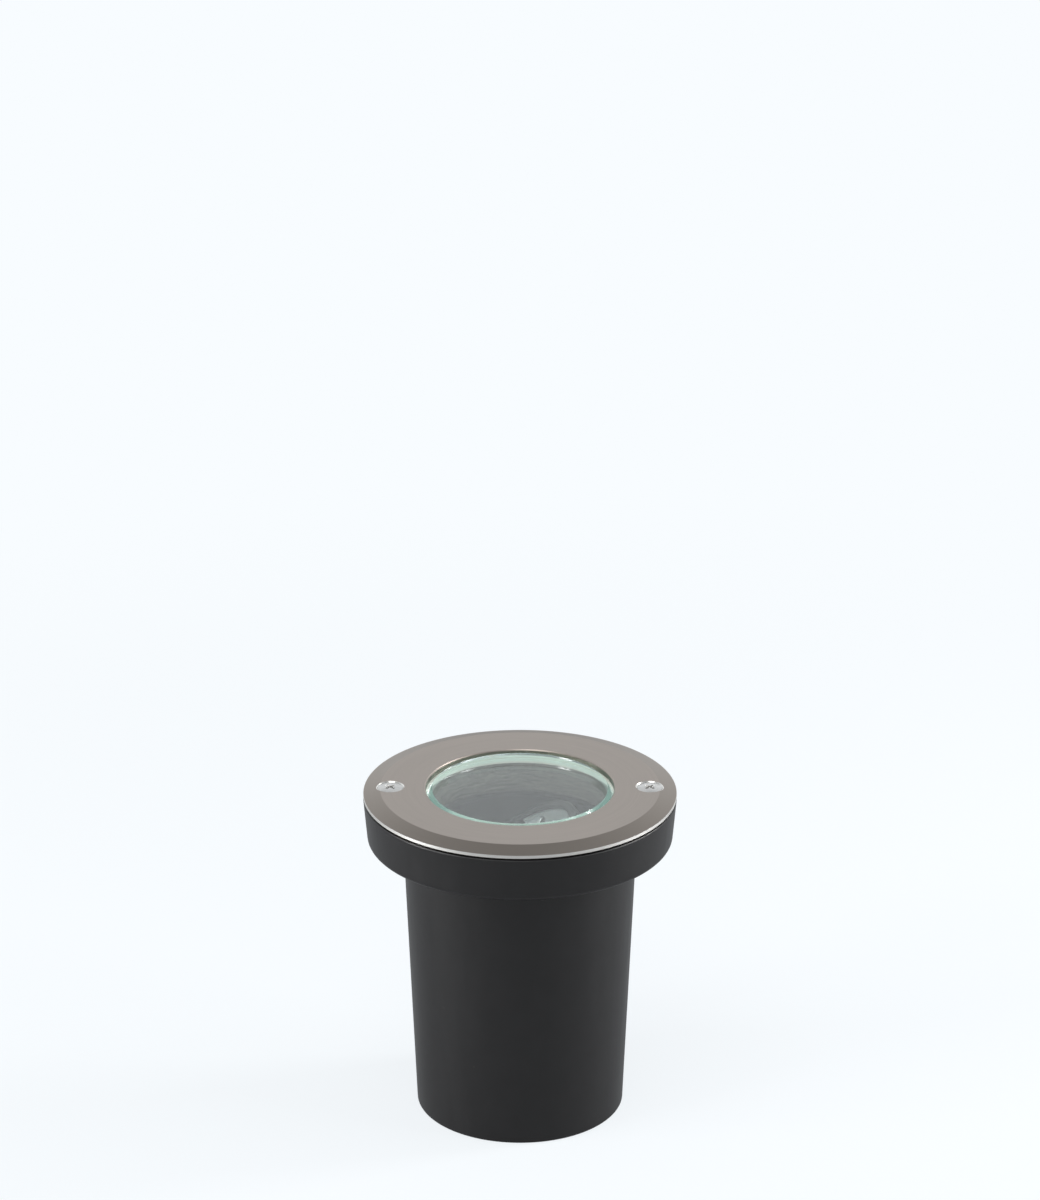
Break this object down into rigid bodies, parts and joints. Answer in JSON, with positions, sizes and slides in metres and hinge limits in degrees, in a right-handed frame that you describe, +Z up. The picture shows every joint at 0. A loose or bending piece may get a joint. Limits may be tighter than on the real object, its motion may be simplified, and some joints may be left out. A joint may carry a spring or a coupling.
{
  "type": "in ground well light",
  "caption": "Round in ground well light: a flanged sleeve for the ground, a ribbed lamp housing, a tilting lamp module, a sealed glass and a screwed steel cover ring.",
  "frame": {"origin": "centre of the foot of the mounting sleeve, at the lowest plane of the part", "axes": "+Z up along the axis of the light, the cover screws on the X axis, the lamp tilts about an axis along Y, the front faces -Y"},
  "size_m": [0.11, 0.11, 0.1214],
  "materials": {
    "sleeve_plastic": "smooth satin black moulded plastic",
    "housing_casting": "die-cast aluminium, grained black-grey coat, turned bore bare brownish grey",
    "ring_steel": "stainless steel, fine circular brushing",
    "stud_steel": "threaded stainless steel studs",
    "screw_steel": "bright stainless steel",
    "nut_steel": "plain stainless steel",
    "nut_black": "blackened steel",
    "gasket_silicone": "frosted translucent silicone",
    "lens_glass": "clear glass with a pale green edge",
    "gimbal_black": "satin black coat with a fine grain on aluminium",
    "cage_black": "satin black coat on sheet steel",
    "rivet_chrome": "bright nickel plate",
    "spacer_nylon": "natural nylon",
    "sink_aluminium": "bright turned aluminium",
    "optic_clear": "clear moulded optic",
    "board_white": "white circuit board",
    "emitter_yellow": "yellow phosphor",
    "pot_black": "black moulded plastic",
    "contact_brass": "bright brass",
    "seal_rubber": "black rubber",
    "gland_nylon": "black nylon",
    "terminal_white": "white moulded plastic"
  },
  "bodies": {
    "sleeve": {"mounting_sleeve": "sleeve_plastic"},
    "housing": {"lamp_housing": "housing_casting", "stud_nuts": "nut_black", "spring_washers": "nut_black", "gland_body": "gland_nylon", "gland_washer": "seal_rubber", "gland_locknut": "gland_nylon", "gland_seal": "seal_rubber", "gland_cap": "gland_nylon", "terminal_block": "terminal_white", "terminal_tubes": "contact_brass", "terminal_screws": "nut_steel", "block_screws": "nut_steel"},
    "gimbal": {"gimbal_ring": "gimbal_black", "pivot_rivets": "rivet_chrome", "pivot_spacers": "spacer_nylon"},
    "lamp": {"tilt_ring": "gimbal_black", "lamp_cage": "cage_black", "cage_screws": "rivet_chrome", "module_pad": "seal_rubber", "lamp_optic": "optic_clear", "circuit_board": "board_white", "light_emitters": "emitter_yellow", "heat_sink": "sink_aluminium", "driver_pot": "pot_black", "contact_pins": "contact_brass"},
    "lens": {"silicone_gasket": "gasket_silicone", "glass_lens": "lens_glass"},
    "cover": {"cover_ring": "ring_steel", "cover_studs": "stud_steel"},
    "screws": {"cover_screws": "screw_steel"}
  },
  "joints": [
    {"name": "housing_lift", "type": "slide", "parent": "sleeve", "child": "housing", "axis": [0, 0, 1], "range_m": [0, 0.125]},
    {"name": "gimbal_lift", "type": "slide", "parent": "housing", "child": "gimbal", "axis": [0, 0, 1], "range_m": [0, 0.062]},
    {"name": "lamp_tilt", "type": "hinge", "parent": "gimbal", "child": "lamp", "pos_m": [0, 0, 0.0864], "axis": [0, -1, 0], "range_deg": [-68, 2]},
    {"name": "lens_lift", "type": "slide", "parent": "gimbal", "child": "lens", "axis": [0, 0, 1], "range_m": [0, 0.024]},
    {"name": "cover_lift", "type": "slide", "parent": "lens", "child": "cover", "axis": [0, 0, 1], "range_m": [0, 0.027]},
    {"name": "screw_lift", "type": "slide", "parent": "cover", "child": "screws", "axis": [0, 0, 1], "range_m": [0, 0.026]}
  ]
}
